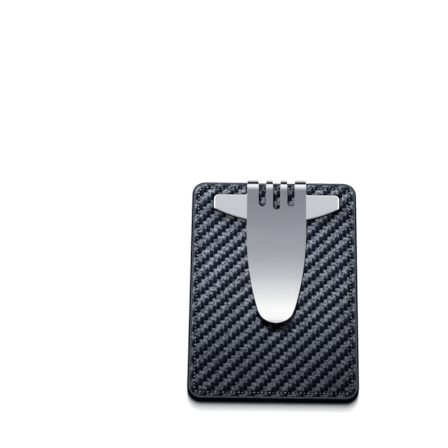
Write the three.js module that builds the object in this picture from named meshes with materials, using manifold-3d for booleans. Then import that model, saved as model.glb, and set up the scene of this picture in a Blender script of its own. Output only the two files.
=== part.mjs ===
// A slim leather card case with a sprung money clip on its front face.
// Millimetres. X runs across the case, +Y points at the mouth end where the clip bends back over
// itself, +Z points out of the clip face. The pocket face lies on the plane z = 0.
import * as THREE from 'three';
import { mergeVertices } from 'three/addons/utils/BufferGeometryUtils.js';
import manifoldModule from 'manifold-3d';

const wasm = await manifoldModule();
wasm.setup();

// ---------- driving dimensions ----------

const CASE_WIDTH = 70;
const CASE_LENGTH = 100;
const CASE_CORNER = 5.5;

// Levels, from the pocket face upwards.
const POCKET_FACE = 0;
const POCKET_LEATHER = 1.0;
const RIM_UNDERSIDE = 1.6;
const FLANGE_TOP = 2.4;
const CORE_UNDERSIDE = 3.4;
const CORE_TOP = 4.0;
const BOARD_TOP = 4.8;
const CASE_TOP = 6.0;

const GAP = 0.02;
const LAYER_INSET = 0.52;
const EDGE_COAT = 0.5;

// Clip: one strip of steel sheet, bent back over itself.
const CLIP_CENTRE_X = 1.0;
const SHEET = 0.8;
const CLIP_WIDTH = 25.2;
const SEAT_DEPTH = 0.45;
const BEND_OUTER = 2.5;
const BEND_BACK_Y = CASE_LENGTH / 2;
const BEND_CENTRE_Y = BEND_BACK_Y - BEND_OUTER;
const BEND_CENTRE_Z = CASE_TOP - SEAT_DEPTH + BEND_OUTER;
const BEND_END = THREE.MathUtils.degToRad(75);
const CREST_RADIUS = 10;
const FALL_ANGLE = THREE.MathUtils.degToRad(9.2);
const CONTACT_ANGLE = THREE.MathUtils.degToRad(0.5);
const TIP_LIFT = THREE.MathUtils.degToRad(11);
const CONTACT_Y = 3;
const TIP_Y = -17.4;
const ROOT_Y = BEND_CENTRE_Y - 0.3;
const CUT_GAP = 0.03;

// Slots that part the bend into four fingers.
const SLOT_WIDTH = 3.2;
const SLOT_PITCH = 6.1;
const SIDE_SLOT_END_Y = 36.6;
const MIDDLE_SLOT_END_Y = 35.2;

// Outline of the tongue.
const TAPER_START_Y = 26.7;
const TAPER_RADIUS = 145;
const TIP_RADIUS = 7.5;

// Wings of the base plate.
const WING_HALF_SPAN = 26.7;
const WING_TOP_Y = 43.9;
const WING_END_LOW_Y = 37.4;
const WING_CORNER = 1.8;
const PLATE_BOTTOM_Y = 30.6;
const SEAT_END_CLEARANCE = 1.2;
const SEAT_SIDE_CLEARANCE = 0.3;

// Pocket face.
const PAD_FOOT_INSET = 3.6;
const PAD_FACE_INSET = 6.0;
const CAVITY_FOOT_INSET = 4.6;
const CAVITY_FACE_INSET = 7.0;
const PAD_OVERRUN = 12;
const MOUTH_SHOULDER_Y = 39.5;
const MOUTH_BOWL_RADIUS = 44;
const MOUTH_SLOPE = THREE.MathUtils.degToRad(22);
const MOUTH_SLOPE_END_X = 23;
const MOUTH_SHOULDER_RADIUS = 24;
const THUMB_WIDTH = 16.6;
const THUMB_LENGTH = 45.8;
const THUMB_CENTRE_Y = -10;
const FACING_START_Y = 27;
const SPACER_WIDTH = 5.5;

const CORE_WIDTH = 58;
const CORE_LENGTH = 90;
const CORE_CORNER = 3;
const CORE_CENTRE_Y = -1;

const LINING_THICKNESS = 0.2;
const LINING_WIDTH = 54;
const LINING_LOW_Y = -42;
const LINING_HIGH_Y = 29;

// Threads lie sunk in grooves.
const THREAD = 0.4;
const GROOVE = 0.5;
const THREAD_INSET = 2.7;
const MOUTH_THREAD_INSET = 1.4;
const MOUTH_THREAD_HALF_SPAN = 27.5;
const THUMB_THREAD_OFFSET = 1.7;
const FRONT_THREAD_LOW = 5.1;
const REAR_THREAD_SUNK = 0.05;

// Studs clenched through leather and board.
const STUD_X = 19;
const STUD_Y = 40;
const STUD_SHANK = 1.2;
const STUD_HEAD = 2.2;
const STUD_HEAD_HEIGHT = 0.3;
const HOLE_CLEARANCE = 0.08;

const ARC_STEPS = 5;
const BEND_STEPS = 10;
// Overlap that fuses two solids, and a length beyond the whole case for cutters.
const FUSE = 0.4;
const LONG = 200;

// ---------- materials ----------

const MATERIALS = {
  frontLeather: { color: 0x3a4250, roughness: 0.5, metalness: 0 },
  pocketLeather: { color: 0x4a5260, roughness: 0.5, metalness: 0 },
  steel: { color: 0xb8babd, roughness: 0.2, metalness: 1 },
  edgePaint: { color: 0x171c26, roughness: 0.35, metalness: 0 },
  thread: { color: 0x5a6270, roughness: 0.8, metalness: 0 },
  board: { color: 0x6b5b48, roughness: 0.9, metalness: 0 },
  lining: { color: 0x2b2f38, roughness: 0.95, metalness: 0 },
};

// ---------- solid helpers ----------

function toSolid(geometry) {
  const bare = geometry.clone();
  bare.deleteAttribute('normal');
  bare.deleteAttribute('uv');
  const merged = mergeVertices(bare, 1e-4);
  return new wasm.Manifold(new wasm.Mesh({
    numProp: 3,
    vertProperties: new Float32Array(merged.attributes.position.array),
    triVerts: new Uint32Array(merged.index.array),
  }));
}

function toGeometry(solid) {
  const mesh = solid.getMesh();
  const geometry = new THREE.BufferGeometry();
  geometry.setAttribute('position', new THREE.BufferAttribute(mesh.vertProperties, 3));
  geometry.setIndex(new THREE.BufferAttribute(mesh.triVerts, 1));
  geometry.computeVertexNormals();
  return geometry;
}

// A plan outline raised from one level to another.
function slab(shape, low, high, steps = ARC_STEPS) {
  const geometry = new THREE.ExtrudeGeometry(shape, {
    depth: high - low,
    bevelEnabled: false,
    curveSegments: steps,
  });
  return toSolid(geometry.translate(0, 0, low));
}

// A side outline in (y, z) pulled across the case from x = left to x = right.
function pulledAcross(profile, left, right) {
  const geometry = new THREE.ExtrudeGeometry(profile, {
    depth: right - left,
    bevelEnabled: false,
    curveSegments: BEND_STEPS,
  });
  const axes = new THREE.Matrix4().makeBasis(
    new THREE.Vector3(0, 1, 0),
    new THREE.Vector3(0, 0, 1),
    new THREE.Vector3(1, 0, 0),
  );
  return toSolid(geometry.applyMatrix4(axes).translate(left, 0, 0));
}

function namedMesh(name, solid, look) {
  const mesh = new THREE.Mesh(toGeometry(solid), new THREE.MeshStandardMaterial(MATERIALS[look]));
  mesh.name = name;
  return mesh;
}

// ---------- outlines ----------

function roundedRectangle(left, low, right, high, radius) {
  const shape = new THREE.Shape();
  shape.moveTo(left + radius, low);
  shape.lineTo(right - radius, low);
  shape.absarc(right - radius, low + radius, radius, -Math.PI / 2, 0, false);
  shape.lineTo(right, high - radius);
  shape.absarc(right - radius, high - radius, radius, 0, Math.PI / 2, false);
  shape.lineTo(left + radius, high);
  shape.absarc(left + radius, high - radius, radius, Math.PI / 2, Math.PI, false);
  shape.lineTo(left, low + radius);
  shape.absarc(left + radius, low + radius, radius, Math.PI, 1.5 * Math.PI, false);
  return shape;
}

function caseOutline(inset) {
  const x = CASE_WIDTH / 2 - inset;
  const y = CASE_LENGTH / 2 - inset;
  return roundedRectangle(-x, -y, x, y, Math.max(CASE_CORNER - inset, 1));
}

function caseRing(outerInset, innerInset, low, high) {
  const outer = slab(caseOutline(outerInset), low, high);
  const inner = slab(caseOutline(innerInset), low - 1, high + 1);
  return outer.subtract(inner);
}

function thumbOutline(offset) {
  const x = THUMB_WIDTH / 2 + offset;
  const y = THUMB_LENGTH / 2 + offset;
  return roundedRectangle(-x, THUMB_CENTRE_Y - y, x, THUMB_CENTRE_Y + y, x - 0.01);
}

// Points along the scooped mouth, moved down into the pocket by `inset`, from left to right.
function mouthPoints(inset) {
  const bowlX = MOUTH_BOWL_RADIUS * Math.sin(MOUTH_SLOPE);
  const bowlRise = MOUTH_BOWL_RADIUS * (1 - Math.cos(MOUTH_SLOPE));
  const slopeRise = (MOUTH_SLOPE_END_X - bowlX) * Math.tan(MOUTH_SLOPE);
  const shoulderX = MOUTH_SLOPE_END_X + MOUTH_SHOULDER_RADIUS * Math.sin(MOUTH_SLOPE);
  const shoulderRise = MOUTH_SHOULDER_RADIUS * (1 - Math.cos(MOUTH_SLOPE));
  const bowlY = MOUTH_SHOULDER_Y - bowlRise - slopeRise - shoulderRise;
  const path = new THREE.Path();
  path.moveTo(-LONG / 4, MOUTH_SHOULDER_Y - inset);
  path.lineTo(-shoulderX, MOUTH_SHOULDER_Y - inset);
  path.absarc(
    -shoulderX, MOUTH_SHOULDER_Y - MOUTH_SHOULDER_RADIUS, MOUTH_SHOULDER_RADIUS - inset,
    Math.PI / 2, Math.PI / 2 - MOUTH_SLOPE, true,
  );
  path.absarc(
    0, bowlY + MOUTH_BOWL_RADIUS, MOUTH_BOWL_RADIUS + inset,
    1.5 * Math.PI - MOUTH_SLOPE, 1.5 * Math.PI + MOUTH_SLOPE, false,
  );
  path.absarc(
    shoulderX, MOUTH_SHOULDER_Y - MOUTH_SHOULDER_RADIUS, MOUTH_SHOULDER_RADIUS - inset,
    Math.PI / 2 + MOUTH_SLOPE, Math.PI / 2, true,
  );
  path.lineTo(LONG / 4, MOUTH_SHOULDER_Y - inset);
  return path.getPoints(ARC_STEPS);
}

// Everything beyond the mouth, as a plan outline.
function beyondMouth(inset) {
  const shape = new THREE.Shape(mouthPoints(inset));
  shape.lineTo(LONG / 4, LONG);
  shape.lineTo(-LONG / 4, LONG);
  return shape;
}

// A band of the given width whose upper edge runs `inset` inside the mouth.
function mouthBand(inset, width) {
  const lower = mouthPoints(inset + width).reverse();
  return new THREE.Shape([...mouthPoints(inset), ...lower]);
}

// ---------- clip ----------

// A slot with a round end at `endY`, open towards the bend.
function slotCutter(centreX, endY, low, high) {
  const r = SLOT_WIDTH / 2;
  const shape = new THREE.Shape();
  shape.moveTo(centreX - r, LONG);
  shape.lineTo(centreX - r, endY + r);
  shape.absarc(centreX, endY + r, r, Math.PI, 2 * Math.PI, false);
  shape.lineTo(centreX + r, LONG);
  return slab(shape, low, high, 2 * ARC_STEPS);
}

function withSlots(solid, low, high) {
  let slotted = solid;
  for (const place of [-1, 0, 1]) {
    const endY = place === 0 ? MIDDLE_SLOT_END_Y : SIDE_SLOT_END_Y;
    const cutter = slotCutter(CLIP_CENTRE_X + place * SLOT_PITCH, endY, low, high);
    slotted = slotted.subtract(cutter);
  }
  return slotted;
}

// Wings and the shallow curved lower edge; `side` and `end` widen the outline for the seat.
function wingOutline(side, end) {
  const x = WING_HALF_SPAN + end;
  const top = WING_TOP_Y + side;
  const lowY = WING_END_LOW_Y - side;
  const sag = WING_END_LOW_Y - PLATE_BOTTOM_Y;
  const radius = (x * x + sag * sag) / (2 * sag);
  const half = Math.asin(x / radius);
  const shape = new THREE.Shape();
  shape.moveTo(CLIP_CENTRE_X + x, lowY);
  shape.lineTo(CLIP_CENTRE_X + x, top - WING_CORNER);
  shape.absarc(CLIP_CENTRE_X + x - WING_CORNER, top - WING_CORNER, WING_CORNER, 0, Math.PI / 2, false);
  shape.lineTo(CLIP_CENTRE_X - x + WING_CORNER, top);
  shape.absarc(
    CLIP_CENTRE_X - x + WING_CORNER, top - WING_CORNER, WING_CORNER, Math.PI / 2, Math.PI, false,
  );
  shape.lineTo(CLIP_CENTRE_X - x, lowY);
  shape.absarc(
    CLIP_CENTRE_X, lowY - sag + radius, radius, 1.5 * Math.PI - half, 1.5 * Math.PI + half, false,
  );
  return shape;
}

function stripOutline(side, lowY, highY) {
  const x = CLIP_WIDTH / 2 + side;
  const shape = new THREE.Shape();
  shape.moveTo(CLIP_CENTRE_X - x, lowY);
  shape.lineTo(CLIP_CENTRE_X + x, lowY);
  shape.lineTo(CLIP_CENTRE_X + x, highY);
  shape.lineTo(CLIP_CENTRE_X - x, highY);
  return shape;
}

function clipBasePlate() {
  const low = CASE_TOP - SEAT_DEPTH;
  const wings = slab(wingOutline(0, 0), low, low + SHEET);
  const strip = slab(stripOutline(0, PLATE_BOTTOM_Y + 5, ROOT_Y), low, low + SHEET);
  return withSlots(wings.add(strip), low - 1, low + 2);
}

// The hollow pressed into the front leather under the plate.
function clipSeat() {
  const low = CASE_TOP - SEAT_DEPTH - GAP;
  const wings = slab(wingOutline(SEAT_SIDE_CLEARANCE, SEAT_END_CLEARANCE), low, low + 2);
  const strip = slab(stripOutline(SEAT_SIDE_CLEARANCE, PLATE_BOTTOM_Y + 5, LONG), low, low + 2);
  return wings.add(strip);
}

// Side outline of one finger: a short root, then the bend up to where the tongue takes over.
function bendOutline() {
  const inner = BEND_OUTER - SHEET;
  const start = -Math.PI / 2;
  const end = BEND_END - CUT_GAP / BEND_OUTER;
  const foot = BEND_CENTRE_Z - BEND_OUTER;
  const shape = new THREE.Shape();
  shape.moveTo(ROOT_Y + CUT_GAP, foot);
  shape.lineTo(BEND_CENTRE_Y, foot);
  shape.absarc(BEND_CENTRE_Y, BEND_CENTRE_Z, BEND_OUTER, start, end, false);
  shape.absarc(BEND_CENTRE_Y, BEND_CENTRE_Z, inner, end, start, true);
  shape.lineTo(ROOT_Y + CUT_GAP, foot + SHEET);
  return shape;
}

// Left and right edges of the four fingers, measured from the clip's centre line.
function fingerEdges() {
  const edge = CLIP_WIDTH / 2;
  const near = SLOT_WIDTH / 2;
  const far = SLOT_PITCH - SLOT_WIDTH / 2;
  const outer = SLOT_PITCH + SLOT_WIDTH / 2;
  return [[-edge, -outer], [-far, -near], [near, far], [outer, edge]];
}

// Side outline of the tongue: crest over the bend, long fall to the contact line, lifted tip.
function tongueProfile() {
  const half = SHEET / 2;
  const middle = BEND_OUTER - half;
  const crestY = BEND_CENTRE_Y + (middle - CREST_RADIUS) * Math.cos(BEND_END);
  const crestZ = BEND_CENTRE_Z + (middle - CREST_RADIUS) * Math.sin(BEND_END);
  const crestEnd = Math.PI / 2 + FALL_ANGLE;
  const fallStartY = crestY + CREST_RADIUS * Math.cos(crestEnd);
  const fallStartZ = crestZ + CREST_RADIUS * Math.sin(crestEnd);
  const fallRadius = (fallStartY - CONTACT_Y) / (Math.sin(FALL_ANGLE) - Math.sin(CONTACT_ANGLE));
  const fallY = fallStartY - fallRadius * Math.sin(FALL_ANGLE);
  const fallZ = fallStartZ + fallRadius * Math.cos(FALL_ANGLE);
  const contactZ = fallZ - fallRadius * Math.cos(CONTACT_ANGLE);
  const tipRadius = (CONTACT_Y - TIP_Y) / (Math.sin(TIP_LIFT) + Math.sin(CONTACT_ANGLE));
  const tipCentreY = CONTACT_Y - tipRadius * Math.sin(CONTACT_ANGLE);
  const tipCentreZ = contactZ + tipRadius * Math.cos(CONTACT_ANGLE);
  const down = -Math.PI / 2;
  const start = BEND_END + CUT_GAP / BEND_OUTER;
  const shape = new THREE.Shape();
  // Upper skin from the bend to the tip, then the lower skin back again.
  shape.absarc(crestY, crestZ, CREST_RADIUS + half, start, crestEnd, false);
  shape.absarc(fallY, fallZ, fallRadius - half, down + FALL_ANGLE, down + CONTACT_ANGLE, true);
  shape.absarc(tipCentreY, tipCentreZ, tipRadius - half, down + CONTACT_ANGLE, down - TIP_LIFT, true);
  shape.absarc(tipCentreY, tipCentreZ, tipRadius + half, down - TIP_LIFT, down + CONTACT_ANGLE, false);
  shape.absarc(fallY, fallZ, fallRadius + half, down + CONTACT_ANGLE, down + FALL_ANGLE, false);
  shape.absarc(crestY, crestZ, CREST_RADIUS - half, crestEnd, start, true);
  return shape;
}

// Plan outline: straight sides, a long taper on one big arc, and a round tip.
function tongueOutline() {
  const halfWidth = CLIP_WIDTH / 2;
  const tipCentreY = TIP_Y + TIP_RADIUS;
  const sideCentreX = TAPER_RADIUS - halfWidth;
  const turn = Math.atan2(TAPER_START_Y - tipCentreY, sideCentreX);
  const shape = new THREE.Shape();
  shape.moveTo(CLIP_CENTRE_X + halfWidth, LONG);
  shape.lineTo(CLIP_CENTRE_X - halfWidth, LONG);
  shape.lineTo(CLIP_CENTRE_X - halfWidth, TAPER_START_Y);
  shape.absarc(
    CLIP_CENTRE_X + sideCentreX, TAPER_START_Y, TAPER_RADIUS, Math.PI, Math.PI + turn, false,
  );
  shape.absarc(
    CLIP_CENTRE_X, tipCentreY, TIP_RADIUS, Math.PI + turn, 2 * Math.PI - turn, false,
  );
  shape.absarc(
    CLIP_CENTRE_X - sideCentreX, TAPER_START_Y, TAPER_RADIUS, -turn, 0, false,
  );
  return shape;
}

function clipTongue() {
  const left = CLIP_CENTRE_X - CLIP_WIDTH;
  const right = CLIP_CENTRE_X + CLIP_WIDTH;
  const sheet = pulledAcross(tongueProfile(), left, right);
  const trimmed = sheet.intersect(slab(tongueOutline(), 0, LONG));
  return withSlots(trimmed, 0, LONG);
}

function clipStud(centreX) {
  const headLow = CORE_TOP + GAP;
  const profile = [
    new THREE.Vector2(0, headLow),
    new THREE.Vector2(STUD_HEAD, headLow),
    new THREE.Vector2(STUD_HEAD, headLow + STUD_HEAD_HEIGHT),
    new THREE.Vector2(STUD_SHANK, headLow + STUD_HEAD_HEIGHT),
    new THREE.Vector2(STUD_SHANK, CASE_TOP - SEAT_DEPTH - GAP),
    new THREE.Vector2(0, CASE_TOP - SEAT_DEPTH - GAP),
  ];
  const geometry = new THREE.LatheGeometry(profile, 4 * ARC_STEPS);
  return toSolid(geometry.rotateX(Math.PI / 2).translate(centreX, STUD_Y, 0));
}

function roundCutter(x, y, radius, low, high) {
  const shape = new THREE.Shape();
  shape.absarc(x, y, radius, 0, 2 * Math.PI, false);
  return slab(shape, low, high, 4 * ARC_STEPS);
}

function studHoles(radius, low, high) {
  const left = roundCutter(CLIP_CENTRE_X - STUD_X, STUD_Y, radius, low, high);
  return left.add(roundCutter(CLIP_CENTRE_X + STUD_X, STUD_Y, radius, low, high));
}

// ---------- front of the case ----------

function frontLeather() {
  const groove = caseRing(
    THREAD_INSET - GROOVE / 2, THREAD_INSET + GROOVE / 2, FRONT_THREAD_LOW - GAP, CASE_TOP + 1,
  );
  const holes = studHoles(STUD_SHANK + HOLE_CLEARANCE, BOARD_TOP - 1, CASE_TOP + 1);
  return slab(caseOutline(0), BOARD_TOP, CASE_TOP).subtract(groove).subtract(clipSeat()).subtract(holes);
}

function frontThread() {
  return caseRing(
    THREAD_INSET - THREAD / 2, THREAD_INSET + THREAD / 2, FRONT_THREAD_LOW, FRONT_THREAD_LOW + THREAD,
  );
}

function coreOutline(clearance) {
  const x = CORE_WIDTH / 2 + clearance;
  const y = CORE_LENGTH / 2 + clearance;
  return roundedRectangle(-x, CORE_CENTRE_Y - y, x, CORE_CENTRE_Y + y, CORE_CORNER);
}

function corePlate() {
  return slab(coreOutline(0), CORE_UNDERSIDE, CORE_TOP - GAP);
}

// The board carries the plate in a rebate and the studs in counterbored holes.
function frontBoard() {
  const low = CORE_UNDERSIDE + GAP;
  const rebate = slab(coreOutline(HOLE_CLEARANCE), low - 1, CORE_TOP);
  const shanks = studHoles(STUD_SHANK + HOLE_CLEARANCE, low - 1, CASE_TOP);
  const headTop = CORE_TOP + STUD_HEAD_HEIGHT + 2 * GAP;
  const heads = studHoles(STUD_HEAD + HOLE_CLEARANCE, low - 1, headTop);
  const board = slab(caseOutline(LAYER_INSET), low, BOARD_TOP - GAP);
  return board.subtract(rebate).subtract(shanks).subtract(heads);
}

function edgeCoat() {
  return caseRing(0, EDGE_COAT, FLANGE_TOP + GAP, BOARD_TOP - GAP);
}

// ---------- pocket side of the case ----------

// A rounded pad that narrows towards the pocket face and overruns the mouth end.
function taperedPad(footInset, faceInset, foot, face) {
  const x = CASE_WIDTH / 2 - footInset;
  const low = -CASE_LENGTH / 2 + footInset;
  const shape = roundedRectangle(-x, low, x, CASE_LENGTH / 2 + PAD_OVERRUN, CASE_CORNER - 1);
  const geometry = new THREE.ExtrudeGeometry(shape, {
    depth: foot - face,
    bevelEnabled: false,
    curveSegments: ARC_STEPS,
  });
  geometry.translate(0, 0, face);
  const place = geometry.attributes.position;
  const shrink = faceInset - footInset;
  const narrowing = (x - shrink) / x;
  const lowFactor = (low + shrink) / low;
  for (let i = 0; i < place.count; i += 1) {
    if (place.getZ(i) < (foot + face) / 2) {
      place.setX(i, place.getX(i) * narrowing);
      place.setY(i, place.getY(i) * lowFactor);
    }
  }
  return toSolid(geometry);
}

function pocketLeather() {
  const flange = slab(caseOutline(0), RIM_UNDERSIDE, FLANGE_TOP - GAP);
  const pad = taperedPad(PAD_FOOT_INSET, PAD_FACE_INSET, RIM_UNDERSIDE + FUSE, POCKET_FACE);
  const hollow = taperedPad(CAVITY_FOOT_INSET, CAVITY_FACE_INSET, FLANGE_TOP + FUSE, POCKET_LEATHER);
  const mouth = slab(beyondMouth(0), POCKET_FACE - 1, CASE_TOP);
  const thumb = slab(thumbOutline(0), POCKET_FACE - 1, CASE_TOP);
  const grooveTop = THREAD + REAR_THREAD_SUNK + GAP;
  const rimGroove = caseRing(
    THREAD_INSET - GROOVE / 2, THREAD_INSET + GROOVE / 2, RIM_UNDERSIDE - 1, RIM_UNDERSIDE + grooveTop,
  );
  const thumbGroove = thumbRing(GROOVE, POCKET_FACE - 1, grooveTop);
  const mouthGroove = mouthStrip(GROOVE, POCKET_FACE - 1, grooveTop, MOUTH_THREAD_HALF_SPAN + 0.1);
  return flange.add(pad).subtract(hollow).subtract(mouth).subtract(thumb)
    .subtract(rimGroove).subtract(thumbGroove).subtract(mouthGroove);
}

function thumbRing(width, low, high) {
  const outer = slab(thumbOutline(THUMB_THREAD_OFFSET + width / 2), low, high);
  const inner = slab(thumbOutline(THUMB_THREAD_OFFSET - width / 2), low - 1, high + 1);
  return outer.subtract(inner);
}

function mouthStrip(width, low, high, halfSpan) {
  const band = slab(mouthBand(MOUTH_THREAD_INSET - width / 2, width), low, high);
  const reach = new THREE.Shape();
  reach.moveTo(-halfSpan, 0);
  reach.lineTo(halfSpan, 0);
  reach.lineTo(halfSpan, LONG);
  reach.lineTo(-halfSpan, LONG);
  return band.intersect(slab(reach, low - 1, high + 1));
}

function thumbThread() {
  return thumbRing(THREAD, REAR_THREAD_SUNK, REAR_THREAD_SUNK + THREAD);
}

function mouthThread() {
  return mouthStrip(THREAD, REAR_THREAD_SUNK, REAR_THREAD_SUNK + THREAD, MOUTH_THREAD_HALF_SPAN);
}

// Straight cut across the case: keeps what lies between two values of y.
function betweenY(solid, low, high) {
  const keep = new THREE.Shape();
  keep.moveTo(-LONG, low);
  keep.lineTo(LONG, low);
  keep.lineTo(LONG, high);
  keep.lineTo(-LONG, high);
  return solid.intersect(slab(keep, -LONG, LONG));
}

function threadRing(low) {
  return caseRing(THREAD_INSET - THREAD / 2, THREAD_INSET + THREAD / 2, low, low + THREAD);
}

function pocketThread() {
  const ring = threadRing(RIM_UNDERSIDE + REAR_THREAD_SUNK);
  return betweenY(ring, -LONG, MOUTH_SHOULDER_Y - 0.3);
}

function facingThread() {
  return betweenY(threadRing(FLANGE_TOP + REAR_THREAD_SUNK), MOUTH_SHOULDER_Y + 0.3, LONG);
}

function mouthFacing() {
  const leather = slab(caseOutline(LAYER_INSET), FLANGE_TOP, CORE_UNDERSIDE - GAP);
  const groove = caseRing(
    THREAD_INSET - GROOVE / 2, THREAD_INSET + GROOVE / 2,
    FLANGE_TOP - 1, FLANGE_TOP + THREAD + REAR_THREAD_SUNK + GAP,
  );
  return betweenY(leather.subtract(betweenY(groove, MOUTH_SHOULDER_Y, LONG)), FACING_START_Y, LONG);
}

function pocketSpacer() {
  const strip = caseRing(LAYER_INSET, SPACER_WIDTH, FLANGE_TOP, CORE_UNDERSIDE - GAP);
  return betweenY(strip, -LONG, FACING_START_Y - GAP);
}

function pocketLining() {
  const low = POCKET_LEATHER + GAP;
  const x = LINING_WIDTH / 2;
  const sheet = slab(
    roundedRectangle(-x, LINING_LOW_Y, x, LINING_HIGH_Y, CORE_CORNER), low, low + LINING_THICKNESS,
  );
  return sheet.subtract(slab(thumbOutline(THUMB_THREAD_OFFSET), low - 1, low + 1));
}

// ---------- assembly ----------

const moneyClip = new THREE.Group();
moneyClip.name = 'card_case_with_money_clip';

moneyClip.add(namedMesh('front_leather', frontLeather(), 'frontLeather'));
moneyClip.add(namedMesh('front_perimeter_thread', frontThread(), 'thread'));
moneyClip.add(namedMesh('front_board', frontBoard(), 'board'));
moneyClip.add(namedMesh('core_plate', corePlate(), 'steel'));
moneyClip.add(namedMesh('edge_coat', edgeCoat(), 'edgePaint'));
moneyClip.add(namedMesh('pocket_spacer', pocketSpacer(), 'board'));
moneyClip.add(namedMesh('mouth_facing', mouthFacing(), 'pocketLeather'));
moneyClip.add(namedMesh('pocket_lining', pocketLining(), 'lining'));
moneyClip.add(namedMesh('pocket_leather', pocketLeather(), 'pocketLeather'));
moneyClip.add(namedMesh('pocket_perimeter_thread', pocketThread(), 'thread'));
moneyClip.add(namedMesh('facing_perimeter_thread', facingThread(), 'thread'));
moneyClip.add(namedMesh('mouth_thread', mouthThread(), 'thread'));
moneyClip.add(namedMesh('thumb_slot_thread', thumbThread(), 'thread'));

moneyClip.add(namedMesh('clip_base_plate', clipBasePlate(), 'steel'));
fingerEdges().forEach(([left, right], index) => {
  const finger = pulledAcross(bendOutline(), CLIP_CENTRE_X + left, CLIP_CENTRE_X + right);
  moneyClip.add(namedMesh(`clip_spring_finger_${index + 1}`, finger, 'steel'));
});
moneyClip.add(namedMesh('clip_tongue', clipTongue(), 'steel'));
moneyClip.add(namedMesh('clip_stud_left', clipStud(CLIP_CENTRE_X - STUD_X), 'steel'));
moneyClip.add(namedMesh('clip_stud_right', clipStud(CLIP_CENTRE_X + STUD_X), 'steel'));

export default moneyClip;
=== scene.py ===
"""Looks of a slim card case, leather embossed like woven carbon cloth, with a sprung steel money clip.

Lengths in this script are millimetres in the CAD frame; they become metres where a mesh is made.
The clip face looks up (+Z), the mouth end of the pocket and the bend of the clip are at +Y.
"""

import math

import bmesh
import bpy
import numpy as np
from mathutils import Matrix, Vector


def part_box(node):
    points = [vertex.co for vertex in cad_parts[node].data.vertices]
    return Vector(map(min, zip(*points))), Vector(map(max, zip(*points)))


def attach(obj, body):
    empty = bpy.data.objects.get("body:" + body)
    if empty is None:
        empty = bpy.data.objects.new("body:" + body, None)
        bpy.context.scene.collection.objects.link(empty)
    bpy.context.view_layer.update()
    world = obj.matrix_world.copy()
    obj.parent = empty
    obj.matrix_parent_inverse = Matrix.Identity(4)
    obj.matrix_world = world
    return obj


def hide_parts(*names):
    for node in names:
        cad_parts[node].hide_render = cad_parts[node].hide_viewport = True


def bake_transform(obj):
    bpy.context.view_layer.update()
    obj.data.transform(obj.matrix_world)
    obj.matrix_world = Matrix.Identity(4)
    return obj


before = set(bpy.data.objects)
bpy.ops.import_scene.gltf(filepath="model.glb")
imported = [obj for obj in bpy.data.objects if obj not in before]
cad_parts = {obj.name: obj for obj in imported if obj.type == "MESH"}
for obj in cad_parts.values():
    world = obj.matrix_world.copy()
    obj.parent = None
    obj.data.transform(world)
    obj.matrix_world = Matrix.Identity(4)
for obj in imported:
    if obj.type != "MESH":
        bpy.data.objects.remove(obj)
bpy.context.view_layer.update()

MM = 0.001


def cad_extent(node):
    """Lowest and highest corner of a CAD node, in millimetres."""
    low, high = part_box(node)
    return np.array(low) / MM, np.array(high) / MM


# ---------- dimensions taken from the CAD nodes ----------

(_, _, BOARD_TOP), (HALF_WIDTH, HALF_LENGTH, CASE_TOP) = cad_extent("front_leather")
(_, FACING_START, MOUTH_UNDERSIDE), _ = cad_extent("mouth_facing")
_, (_, MOUTH_SHOULDER, _) = cad_extent("pocket_leather")
PLATE_LOW, PLATE_HIGH = cad_extent("clip_base_plate")
CLIP_X = (PLATE_LOW[0] + PLATE_HIGH[0]) / 2
WING_SPAN = (PLATE_HIGH[0] - PLATE_LOW[0]) / 2
WING_BOTTOM = PLATE_LOW[1]
SHEET = PLATE_HIGH[2] - PLATE_LOW[2]
SEAT_DEPTH = CASE_TOP - PLATE_LOW[2]
_, (_, BEND_BACK, _) = cad_extent("clip_spring_finger_1")
TONGUE_LOW, TONGUE_HIGH = cad_extent("clip_tongue")
TIP_Y = TONGUE_LOW[1]

# ---------- dimensions this script adds ----------

# Leather panels: outline, painted rim, tuck under the paint, padding and mesh pitch.
CORNER = 5.5
RIM_UNDERSIDE = 1.6
RIM_BAND = 0.95
RIM_DEPTH = 0.7
PANEL_INSET = 0.8
PANEL_HALF = HALF_WIDTH - PANEL_INSET
EDGE_SWELL = 0.2
TUCK_END = RIM_BAND + 0.25
FRONT_TUCK = 0.25
BACK_TUCK = 0.2
PADDING = 0.14
PADDING_REACH = 2.2
FACE_DROP = 0.1
FRONT_GRID = 0.26
BACK_GRID = 0.29
GRID_ENDS = (0.0, 0.1, 0.22, 0.4, 0.62)
CLEARANCE = 0.02

# Stitching: its line, its threads, its needle holes and the groove it lies in.
STITCH_INSET = 2.7
STITCH_PITCH = 1.58
STITCH_GAP = 0.98
THREAD_RADIUS = 0.21
THREAD_SLANT = 0.09
THREAD_ARCH = 0.36
THREAD_SINK = 0.3
THREAD_OVERLAP = 0.1
THREAD_FULLNESS = (1.15, 0.6)
HOLE_RADII = (0.713, 0.527)
HOLE_REACH = 1.2
HOLE_DEPTH = 0.4
GROOVE_DEPTH = 0.13
GROOVE_WIDTH = 0.38
SEAM_WIDTH = 0.3

# Embossed two-by-two twill: width of a column and height of a row of tows.
COLUMN = 1.656
ROW = 1.72
WARP_RELIEF = 0.17
WEFT_RELIEF = 0.1
TWILL_PHASE = (0.385, -0.04)
WARP_STEPS = 1.5
WEAVE_START = 0.8
WEAVE_FULL = 4.5
WEAVE_LEAST = 0.42

# Ovals of the warp: how square their sides and ends are, how much their upper end narrows, how
# much they shrink where the weave is weak, where their outline fades, and their painted light.
OVAL_SIDES = 3.4
OVAL_ENDS = 2.6
OVAL_NARROWING = 0.6
OVAL_SHRINK = 0.4
OVAL_FADE = (-0.6, -0.1)
OVAL_LIGHT = 0.95
PEBBLE_SIZE = 0.85
RIDGES_PER_TOW = 5
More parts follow.
